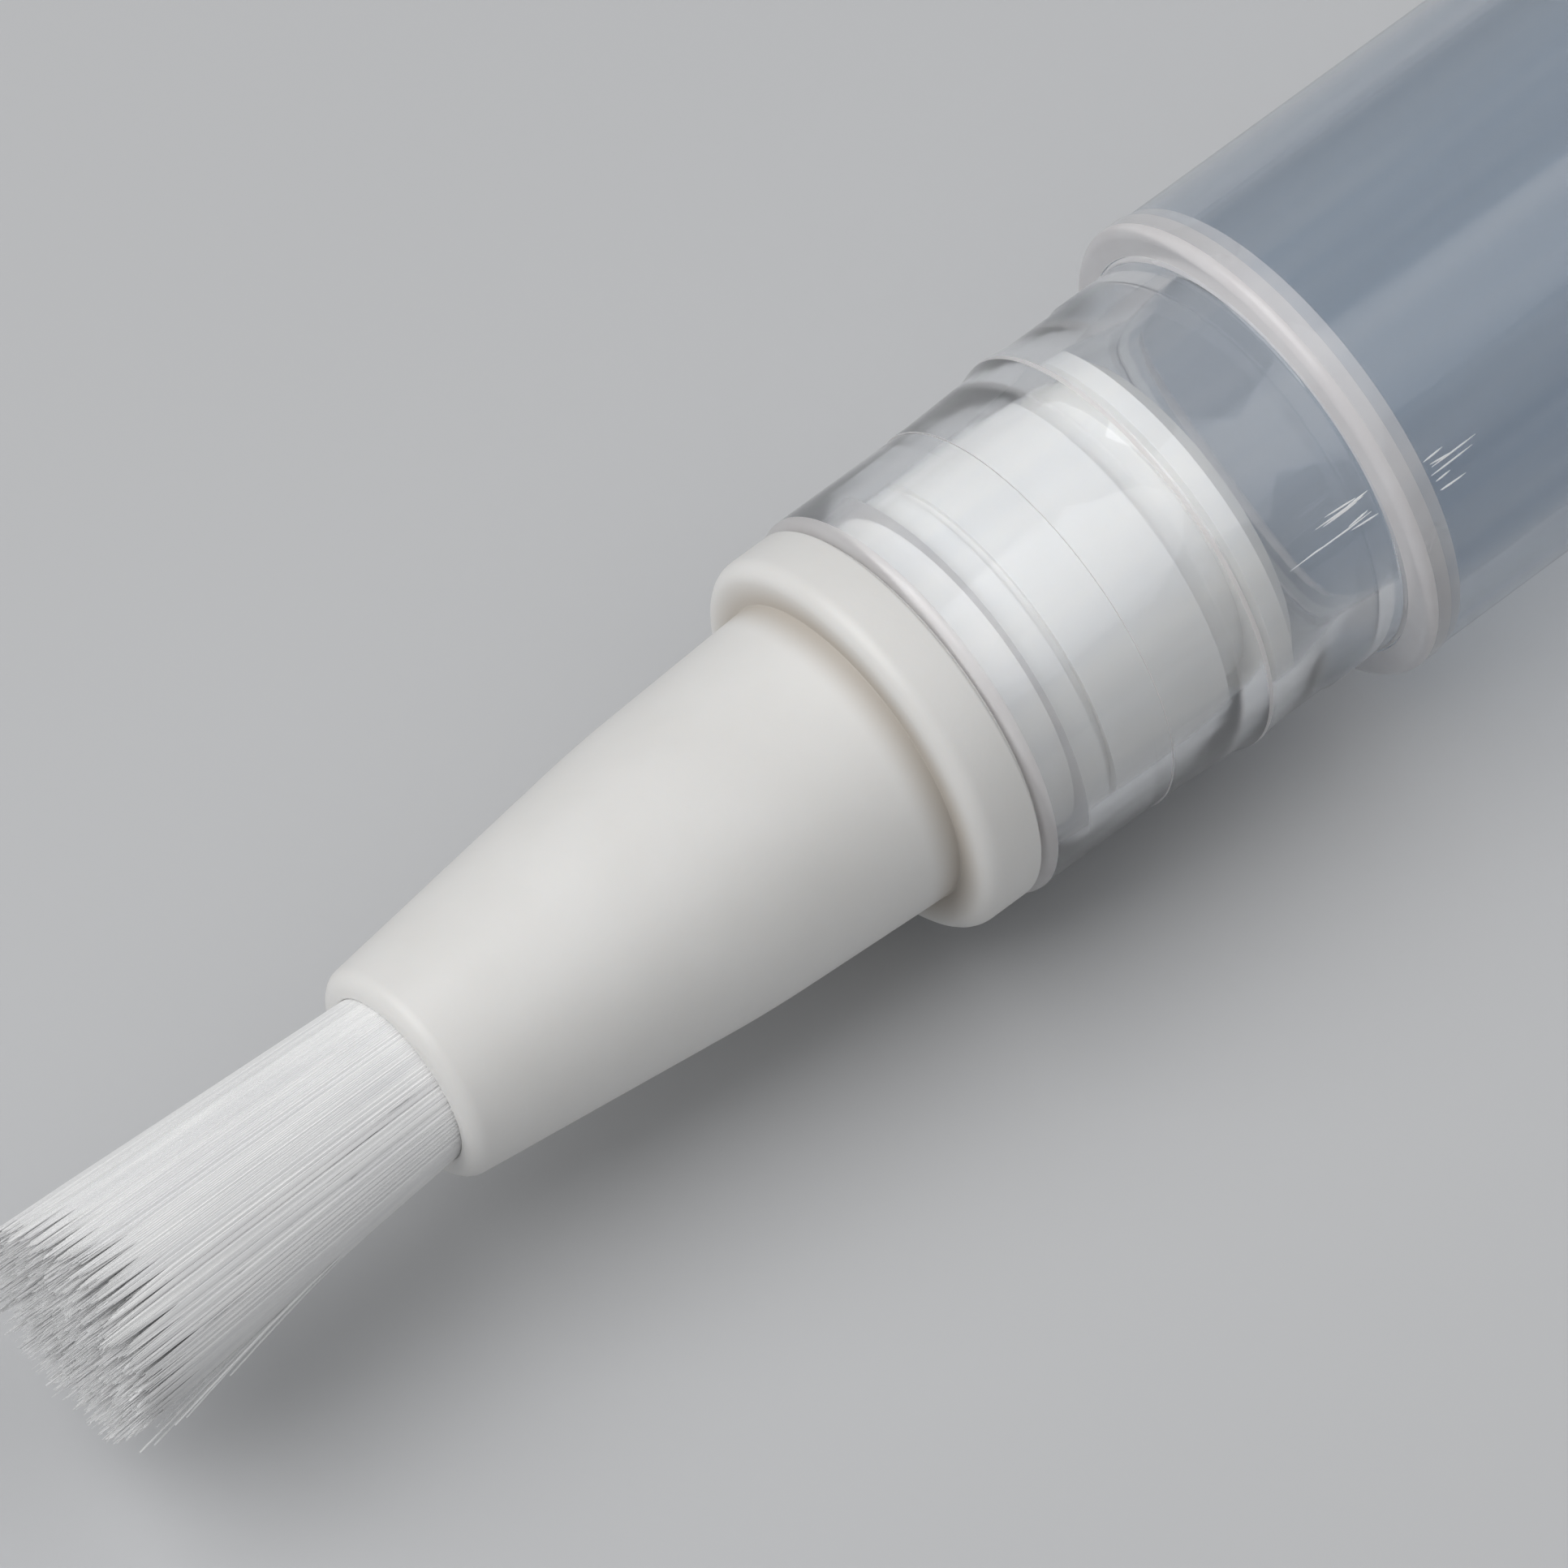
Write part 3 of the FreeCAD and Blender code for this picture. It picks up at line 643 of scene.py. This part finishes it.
# Knob: clear polypropylene cup with shallow flutes for the fingers, pressed over the drive tube's shank.
# Twelve inner ribs sit in the shank's splines, and a narrow room at its end takes the rod's tail.
knob_radius = 5.4
knob_sides = 288
knob_rib_half_angle = math.radians(6.2)
fit_gap = 0.02
knob_cup_radius = shank_radius + fit_gap
cup_end = shank_end + 0.1
tail_room_end = knob_end - 1.4
tail_room_radius = 2.6
knob_mouth_round = 0.3
knob_end_round = 0.9
tail_room_round = 0.2
flute_count = 24
flute_radius = 0.55
flute_depth = 0.16
flute_front = knob_front + 3.0
flute_end = knob_end - 1.6
flute_ease = 0.12
flute_centre = knob_radius + flute_radius - flute_depth
knob = turned([
    (knob_front, knob_cup_radius),
    (knob_front, knob_radius, knob_mouth_round),
    (flute_front, knob_radius),
    (flute_front + flute_ease, knob_radius),
    (flute_end - flute_ease, knob_radius),
    (flute_end, knob_radius),
    (knob_end, knob_radius, knob_end_round),
    (knob_end, 0),
    (tail_room_end, 0),
    (tail_room_end, tail_room_radius, tail_room_round),
    (cup_end, tail_room_radius),
    (cup_end, knob_cup_radius),
    (cup_end - spline_inset, knob_cup_radius),
    (knob_front + spline_inset, knob_cup_radius),
], sides=knob_sides)
for vert in knob.verts:
    between = flute_front + touch < vert.co.x < flute_end - touch
    if between and off_axis(vert.co) > knob_radius - touch:
        turn = math.atan2(vert.co.z, vert.co.y) - math.pi / 2
        step = math.tau / flute_count
        aside = (turn + step / 2) % step - step / 2
        side = flute_centre * math.sin(aside)
        if abs(side) < flute_radius:
            depth = flute_centre * math.cos(aside) - math.sqrt(flute_radius ** 2 - side ** 2)
            scale = min(1, depth / knob_radius)
            vert.co.y *= scale
            vert.co.z *= scale
knob_rib_places = (knob_front + spline_inset, cup_end - spline_inset)
add_bars(knob, spline_count, knob_rib_places, knob_cup_radius, -spline_depth, knob_rib_half_angle)
pale_tint = (0.77, 0.81, 0.86)
pale_streak = (0.86, 0.885, 0.915)
knob_plastic = clear_plastic("knob_plastic", pale_tint, pale_streak, transmission=0.9, roughness=0.04)
place_piece(knob, "fluted_knob", "knob", "knob", "clear_plastic", knob_plastic)

# Push rod: white polypropylene with a two-start thread, flat on two sides where the drive tube turns it.
# The button at its front end snaps into the piston.
button_front, rod_end = node_span("push_rod")
rod_radius = 1.95
rod_root_radius = rod_radius - thread_depth
rod_half_flat = 1.4
rod_groove_radius = 1.45
rod_chamfer = 0.3
cut_margin = 0.0001
button_back = button_front + 1.3
shaft_front = button_back + 1.4
thread_lead = 2 * thread_pitch
thread_steps = 48
thread_profile = ((0, rod_root_radius), (0.55, rod_root_radius), (0.95, rod_radius), (1.6, rod_radius))
push_rod = bmesh.new()
profile_verts = []
for index in range(math.ceil((rod_end - shaft_front) / thread_pitch) + 4):
    for along, radius in thread_profile:
        place = shaft_front - thread_lead + index * thread_pitch + along
        profile_verts.append(push_rod.verts.new((place, 0, radius)))
for first, second in zip(profile_verts, profile_verts[1:]):
    push_rod.edges.new((first, second))
bmesh.ops.spin(
    push_rod, geom=push_rod.verts[:] + push_rod.edges[:], axis=pen_axis, cent=(0, 0, 0),
    dvec=(thread_lead / thread_steps, 0, 0), angle=math.tau, steps=thread_steps,
)
bmesh.ops.remove_doubles(push_rod, verts=push_rod.verts[:], dist=level_margin)
for place, outward in ((shaft_front, -1), (rod_end, 1)):
    bmesh.ops.bisect_plane(
        push_rod, geom=push_rod.verts[:] + push_rod.edges[:] + push_rod.faces[:], dist=cut_margin,
        plane_co=(place, 0, 0), plane_no=(outward, 0, 0), clear_outer=True,
    )
for vert in push_rod.verts:
    vert.co.z = max(-rod_half_flat, min(rod_half_flat, vert.co.z))
front_loop = [
    edge for edge in push_rod.edges if edge.is_boundary and edge.verts[0].co.x < shaft_front + touch
]
for place, radius in (
    (shaft_front, rod_groove_radius),
    (button_back, rod_groove_radius),
    (button_back, rod_radius),
    (button_front + rod_chamfer, rod_radius),
    (button_front, rod_radius - rod_chamfer),
):
    drawn = bmesh.ops.extrude_edge_only(push_rod, edges=front_loop)["geom"]
    front_loop = [item for item in drawn if isinstance(item, bmesh.types.BMEdge) and item.is_boundary]
    for vert in [item for item in drawn if isinstance(item, bmesh.types.BMVert)]:
        turn = math.atan2(vert.co.z, vert.co.y)
        vert.co = pen_axis * place + across_axis(radius, turn)
rod_ends = [edge for edge in push_rod.edges if edge.is_boundary]
bmesh.ops.holes_fill(push_rod, edges=rod_ends, sides=0)
bmesh.ops.recalc_face_normals(push_rod, faces=push_rod.faces[:])
place_piece(push_rod, "threaded_rod", "push_rod", "push_rod", "white_plastic", mechanism_plastic)

# Piston: soft polyethylene, with a wiping lip at each end of its waist and a cupped back.
# Its hub snaps over the rod's button, so that the rod can turn while the piston only slides.
piston_front, piston_back = node_span("piston")
piston_radius = 4.54
piston_waist_radius = 4.09
piston_skirt_radius = 3.34
piston_hub_radius = 2.75
piston_nose_radius = 3.91
piston_nose_length = 0.5
socket_radius = 2.01
catch_radius = 1.51
piston_waist_round = 0.3
lip_length = 0.6
lip_ease = 0.7
front_lip_back = piston_front + piston_nose_length + lip_length
hollow_front = piston_back - 2.6
socket_front = piston_front + 1.1
socket_back = socket_front + 1.5
catch_back = socket_back + 1.2
piston = turned([
    (piston_front, 0),
    (piston_front, piston_nose_radius, soft_round),
    (piston_front + piston_nose_length, piston_radius, crisp_round),
    (front_lip_back, piston_radius, fine_round),
    (front_lip_back + lip_ease, piston_waist_radius, piston_waist_round),
    (piston_back - lip_length - lip_ease, piston_waist_radius, piston_waist_round),
    (piston_back - lip_length, piston_radius, fine_round),
    (piston_back, piston_radius, crisp_round),
    (piston_back, piston_skirt_radius, fine_round),
    (hollow_front, piston_skirt_radius, soft_round),
    (hollow_front, piston_hub_radius, soft_round),
    (piston_back, piston_hub_radius, fine_round),
    (piston_back, socket_radius, fine_round),
    (catch_back, socket_radius),
    (catch_back, catch_radius, fine_round),
    (socket_back, catch_radius),
    (socket_back, socket_radius),
    (socket_front, socket_radius),
    (socket_front, 0),
])
piston_plastic = white_plastic("piston_plastic", (0.87, 0.87, 0.85), (0.83, 0.83, 0.81), roughness=0.5)
place_piece(piston, "lipped_piston", "piston", "piston", "piston_plastic", piston_plastic)

# Brush nozzle: white polypropylene, moulded in one with the flange that stops the fingers.
# Its plug is pressed into the neck, and a groove near the plug's end leaves a sealing rib. The corner
# between nozzle and flange has painted shade: its colour darkens to a warm brown there.
flange_back = -neck_length - 0.08
flange_front = flange_back - 1.42
flange_radius = 4.52
nozzle_front = flange_front - 12.0
nozzle_tip_radius = 2.5
nozzle_waist_radius = 3.36
nozzle_waist_place = flange_front - 4.65
nozzle_root_radius = 3.6
plug_radius = neck_bore_radius - fit_gap
plug_back = flange_back + 7.3
plug_bore_radius = 2.9
plug_chamfer = 0.4
plug_line_front = flange_back + 2.0
plug_line_back = plug_line_front + 0.2
plug_line_radius = plug_radius - 0.12
rib_front = plug_back - 0.9
groove_front = rib_front - 1.1
groove_radius = plug_radius - 0.44
nozzle_mouth_round = 0.06
nozzle_tip_round = 0.35
nozzle_waist_round = 0.8
nozzle_root_round = 0.03
flange_round = 0.4
tuft_bore_radius = 1.97
root_bore_radius = 2.45
root_step = nozzle_front + 8.0
nozzle_plastic = white_plastic(
    "nozzle_plastic", (0.86, 0.85, 0.83), (0.83, 0.818, 0.795), roughness=0.42
)
# Painted shade: near the inner corner between nozzle and flange the base colour is darkened to a warm
# brown, standing in for the shade that falls in that corner.
corner_shade_reach = 0.8
corner_shade_strength = 0.85
corner_tree = nozzle_plastic.node_tree
corner_color = corner_tree.nodes["Principled BSDF"].inputs["Base Color"]
corner_place = add_node(corner_tree, "TexCoord")
corner_across = add_node(
    corner_tree, "Mapping", Vector=corner_place.outputs["Object"], Location=(0, 0, -axis_height),
    Scale=(0, 1, 1),
)
corner_radius = add_node(corner_tree, "VectorMath", Vector=corner_across.outputs["Vector"])
corner_radius.operation = "LENGTH"
corner_along = add_node(corner_tree, "SeparateXYZ", Vector=corner_place.outputs["Object"])
corner_outline = add_node(
    corner_tree, "CombineXYZ", X=corner_along.outputs["X"], Y=corner_radius.outputs["Value"]
)
corner_centre = add_node(
    corner_tree, "Mapping", Vector=corner_outline.outputs["Vector"],
    Location=(-shoulder_place - flange_front * mm, -nozzle_root_radius * mm, 0),
)
corner_away = add_node(corner_tree, "VectorMath", Vector=corner_centre.outputs["Vector"])
corner_away.operation = "LENGTH"
corner_shade_share = add_node(
    corner_tree, "MapRange", Value=corner_away.outputs["Value"], From_Max=corner_shade_reach * mm,
    To_Min=corner_shade_strength, To_Max=0.0,
)
corner_shade_share.interpolation_type = "SMOOTHSTEP"
corner_shade_mix = add_node(
    corner_tree, "MixRGB", Fac=corner_shade_share.outputs["Result"], Color1=corner_color.links[0].from_socket,
    Color2=(0.52, 0.47, 0.41, 1),
)
corner_tree.links.new(corner_shade_mix.outputs["Color"], corner_color)
nozzle = turned([
    (nozzle_front, tuft_bore_radius, nozzle_mouth_round),
    (nozzle_front, nozzle_tip_radius, nozzle_tip_round),
    (nozzle_waist_place, nozzle_waist_radius, nozzle_waist_round),
    (flange_front, nozzle_root_radius, nozzle_root_round),
    (flange_front, flange_radius, flange_round),
    (flange_back, flange_radius, crisp_round),
    (flange_back, plug_radius),
    (plug_line_front, plug_radius),
    (plug_line_front, plug_line_radius),
    (plug_line_back, plug_line_radius),
    (plug_line_back, plug_radius),
    (groove_front, plug_radius),
    (groove_front, groove_radius),
    (rib_front, groove_radius),
    (rib_front, plug_radius),
    (plug_back - plug_chamfer, plug_radius),
    (plug_back, plug_radius - plug_chamfer),
    (plug_back, plug_bore_radius),
    (flange_front, plug_bore_radius),
    (flange_front - plug_bore_radius + root_bore_radius, root_bore_radius),
    (root_step, root_bore_radius),
    (root_step, tuft_bore_radius),
])
place_piece(nozzle, "white_nozzle", "brush_nozzle", "barrel", "white_plastic", nozzle_plastic)

# Bristle tuft: nylon filaments fused into a root disc at one end and cut blunt at the other.
# They are packed so tightly that only the outer ones and the loose ends can be told apart. The ends
# gather in small wedges of uneven length, and on one side the tuft splays and a few have sprung loose.
brush_tip = node_span("bristle_tuft")[0]
root_back = root_step + 1.62
root_front = root_step + fit_gap
root_radius = root_bore_radius - fit_gap
feed_radius = 0.85
feed_front = nozzle_front - 3.0
filament_radius = 0.026
outer_count = 1500
inner_count = 5200
bundle_radius = tuft_bore_radius - filament_radius
packed_share = 0.985
packed_end = brush_tip + 2.1
tip_radius = 2.38
tip_splay = 0.3
ring_count = 9
wedge_width = 0.26
wedge_length = 1.0
inner_reach = 1.8
wedge_shift = 0.4
wedge_depth = 0.4
wedge_cut = (0.2, 1)
gather = (0.15, 0.45)
taper = (0.15, 0.45)
bend_length = (1.0, 1.5)
turn_spread = 0.02
tip_inset = 0.02
root_inset = 0.01
core_overlap = 0.2
core_dome_step = 0.8
core_dome_height = 1.3
core_dome_share = 0.82
core_edge_round = 0.4
core_dome_round = 0.3
core_sides = 144
feed_room = 0.1
stray_count = 10
stray_steps = 6
stray_turn = 0.22
stray_leave = (0.3, 0.55)
stray_spread = (0.35, 0.95)
stray_back = (0.1, 2.6)
stray_curve = 1.4
stray_root_share = 1.1
stray_taper = 0.5
stray_side = math.atan2(-0.42, -0.91)
golden_angle = math.pi * (3 - math.sqrt(5))
draw = random.Random(11)


def bundle_point(place, share, angle):
    """Point in the tuft at a share of its radius, which grows from the nozzle's mouth to the tip."""
    along = max(0, (nozzle_front - place) / (nozzle_front - brush_tip))
    splay = tip_splay * max(0, math.cos(angle - stray_side)) ** 2
    radius = bundle_radius + (tip_radius + splay - bundle_radius) * along
    return pen_axis * place + across_axis(radius * share, angle)


wedges = {}
filaments = []
for index in range(outer_count + inner_count):
    on_surface = index < outer_count
    angle = (index * golden_angle + draw.gauss(0, turn_spread)) % math.tau
    share = draw.uniform(packed_share, 1) if on_surface else math.sqrt(draw.random()) * packed_share
    ring = max(1, math.ceil(share * ring_count))
    wedge_step = wedge_width * ring_count / (tip_radius * ring)
    number = round(angle / wedge_step)
    if (ring, number) not in wedges:
        wedge_middle = number + draw.uniform(-wedge_shift, wedge_shift)
        wedges[ring, number] = (wedge_middle * wedge_step, draw.uniform(0, wedge_depth))
    wedge_angle, wedge_back = wedges[ring, number]
    off_middle = min(1, 2 * abs(angle - wedge_angle) / wedge_step)
    tip_angle = angle + (wedge_angle - angle) * draw.uniform(*gather)
    tip_place = brush_tip + tip_inset
    if on_surface:
        tip_place += wedge_back + wedge_length * off_middle * draw.uniform(*wedge_cut)
    else:
        tip_place += inner_reach * draw.random()
    bend_place = tip_place + draw.uniform(*bend_length)
    places = [max(bend_place, packed_end + core_overlap)]
    if on_surface:
        places = [root_front - root_inset, nozzle_front, (nozzle_front + bend_place) / 2] + places
    strand = [(bundle_point(place, share, angle), 1) for place in places]
    strand.append((bundle_point(tip_place, share, tip_angle), draw.uniform(*taper)))
    filaments.append(strand)

for index in range(stray_count):
    angle = stray_side + draw.gauss(0, stray_turn)
    leave = draw.uniform(*stray_leave)
    spread = draw.uniform(*stray_spread)
    tip_place = brush_tip + draw.uniform(*stray_back)
    strand = [(bundle_point(root_front - root_inset, 1, angle), 1)]
    for step in range(stray_steps + 1):
        along = step / stray_steps
        away = across_axis(spread * max(0, along - leave) ** stray_curve, angle)
        place = nozzle_front + (tip_place - nozzle_front) * along
        strand.append((bundle_point(place, 1, angle) + away, stray_root_share - stray_taper * along))
    filaments.append(strand)

filament_mesh = strand_mesh("filaments", filament_radius, filaments)
tuft = turned([
    (root_back, feed_radius + fit_gap),
    (root_back, root_radius, fine_round),
    (root_front, root_radius, fine_round),
    (root_front, bundle_radius * packed_share),
    (nozzle_front, bundle_radius * packed_share),
    (packed_end, bundle_radius * packed_share, core_edge_round),
    (packed_end - core_dome_step, bundle_radius * core_dome_share, core_dome_round),
    (packed_end - core_dome_height, 0),
    (feed_front - feed_room, 0),
    (feed_front - feed_room, feed_radius + fit_gap),
], sides=core_sides)
for vert in tuft.verts:
    if vert.co.x < nozzle_front - touch and off_axis(vert.co) > feed_radius + feed_room:
        angle = math.atan2(vert.co.z, vert.co.y)
        vert.co = bundle_point(vert.co.x, off_axis(vert.co) / bundle_radius, angle)
tuft.from_mesh(filament_mesh)
bpy.data.meshes.remove(filament_mesh)

nylon, nylon_tree, nylon_surface = new_material("nylon_filament")
nylon_streaks = add_flow_lines(nylon_tree, along=60, across=6000)
nylon_tone = color_ramp(nylon_tree, nylon_streaks, (0.35, (0.88, 0.88, 0.885)), (0.65, (0.96, 0.96, 0.955)))
nylon_tree.links.new(nylon_tone, nylon_surface.inputs["Base Color"])
nylon_relief = add_node(nylon_tree, "Bump", Strength=0.3, Distance=0.00003, Height=nylon_streaks)
nylon_tree.links.new(nylon_relief.outputs["Normal"], nylon_surface.inputs["Normal"])
nylon_surface.inputs["Roughness"].default_value = 0.5
nylon_surface.inputs["IOR"].default_value = 1.53
nylon_surface.inputs["Specular IOR Level"].default_value = 0.35
nylon_surface.inputs["Sheen Weight"].default_value = 0.3
place_piece(tuft, "nylon_tuft", "bristle_tuft", "barrel", "nylon_bristle", nylon)

# Feed tube: white polypropylene tube up the middle of the tuft, which carries the oil to the bristles.
# Its flange is pressed in behind the tuft's root and holds it on its step.
feed_bore_radius = 0.45
feed_flange_front = root_back + fit_gap
feed_sides = 64
feed_flange_back = feed_flange_front + 1.0
feed_tube = turned([
    (feed_front, feed_bore_radius, crisp_round),
    (feed_front, feed_radius, plain_round),
    (feed_flange_front, feed_radius),
    (feed_flange_front, root_radius),
    (feed_flange_back, root_radius, soft_round),
    (feed_flange_back, feed_bore_radius, soft_round),
], sides=feed_sides)
place_piece(feed_tube, "feed_tube_white", "feed_tube", "barrel", "white_plastic", nozzle_plastic)

# Cap: clear polypropylene, pulled off and lying ahead of the brush in line with the pen.
# Its wide skirt slides over the neck's bead, and its narrower end clears the brush.
cap_end, cap_mouth = node_span("cap")
cap_radius = barrel_radius
cap_skirt_radius = bead_radius + 0.08
cap_inner_radius = flange_radius + 0.15
cap_skirt_end = cap_mouth - neck_length - 0.4
cap_bottom = cap_end + 1.6
cap_end_round = 1.6
cap_bottom_round = 1.2
cap = turned([
    (cap_mouth, cap_skirt_radius, fine_round),
    (cap_mouth, cap_radius, soft_round),
    (cap_end, cap_radius, cap_end_round),
    (cap_end, 0),
    (cap_bottom, 0),
    (cap_bottom, cap_inner_radius, cap_bottom_round),
    (cap_skirt_end - cap_skirt_radius + cap_inner_radius, cap_inner_radius),
    (cap_skirt_end, cap_skirt_radius),
])
cap_plastic = clear_plastic("cap_plastic", pale_tint, pale_streak, transmission=0.92, roughness=0.03)
place_piece(cap, "clear_cap", "cap", "cap", "clear_plastic", cap_plastic)

# Floor and light: a plain pale surface under the pen, in an even pale room. A large soft lamp shines
# from above the brush end, and a wider, weaker one from above the knob's side.
floor_half = 4.0
floor_mesh = bpy.data.meshes.new("floor")
floor_plane = bmesh.new()
bmesh.ops.create_grid(floor_plane, x_segments=1, y_segments=1, size=floor_half)
floor_plane.to_mesh(floor_mesh)
floor_plane.free()
floor = bpy.data.objects.new("floor", floor_mesh)
bpy.context.scene.collection.objects.link(floor)
floor_material, _, floor_surface = new_material("pale_floor")
floor_surface.inputs["Base Color"].default_value = (0.58, 0.585, 0.595, 1)
floor_surface.inputs["Roughness"].default_value = 0.7
floor_mesh.materials.append(floor_material)

view_centre = Vector((shoulder_place, 0, axis_height))


def add_lamp(name, direction, distance, size, power):
    """Square soft lamp that faces the pen's shoulder from a direction."""
    light = bpy.data.lights.new(name, "AREA")
    light.size = size
    light.energy = power
    lamp = bpy.data.objects.new(name, light)
    lamp.location = view_centre + Vector(direction).normalized() * distance
    lamp.rotation_euler = Vector(direction).to_track_quat("Z", "Y").to_euler()
    bpy.context.scene.collection.objects.link(lamp)


add_lamp("main_lamp", direction=(-0.5, 0.25, 0.83), distance=0.9, size=0.8, power=6.4)
add_lamp("top_lamp", direction=(0.36, -0.36, 0.85), distance=1.1, size=1.0, power=2.7)
room = bpy.data.worlds.new("pale_room")
room.use_nodes = True
room.node_tree.nodes["Background"].inputs["Color"].default_value = (0.95, 0.975, 1.0, 1)
room.node_tree.nodes["Background"].inputs["Strength"].default_value = 0.13
bpy.context.scene.world = room
bpy.context.scene.view_settings.view_transform = "Standard"

# Camera: the photograph's view down on the brush end, from close above, with a long lens.
camera_azimuth = math.radians(-40.7)
camera_elevation = math.radians(58.4)
camera_distance = 0.4
frame_offset = (-9.65 * mm, -6.80 * mm)
camera_data = bpy.data.cameras.new("camera")
camera_data.lens = 444
camera_data.sensor_width = 36
camera_data.clip_end = 20
camera = bpy.data.objects.new("camera", camera_data)
camera.rotation_euler = (math.pi / 2 - camera_elevation, 0, camera_azimuth)
camera_turn = camera.rotation_euler.to_matrix()
camera.location = view_centre + camera_turn @ Vector((*frame_offset, camera_distance))
bpy.context.scene.collection.objects.link(camera)
bpy.context.scene.camera = camera
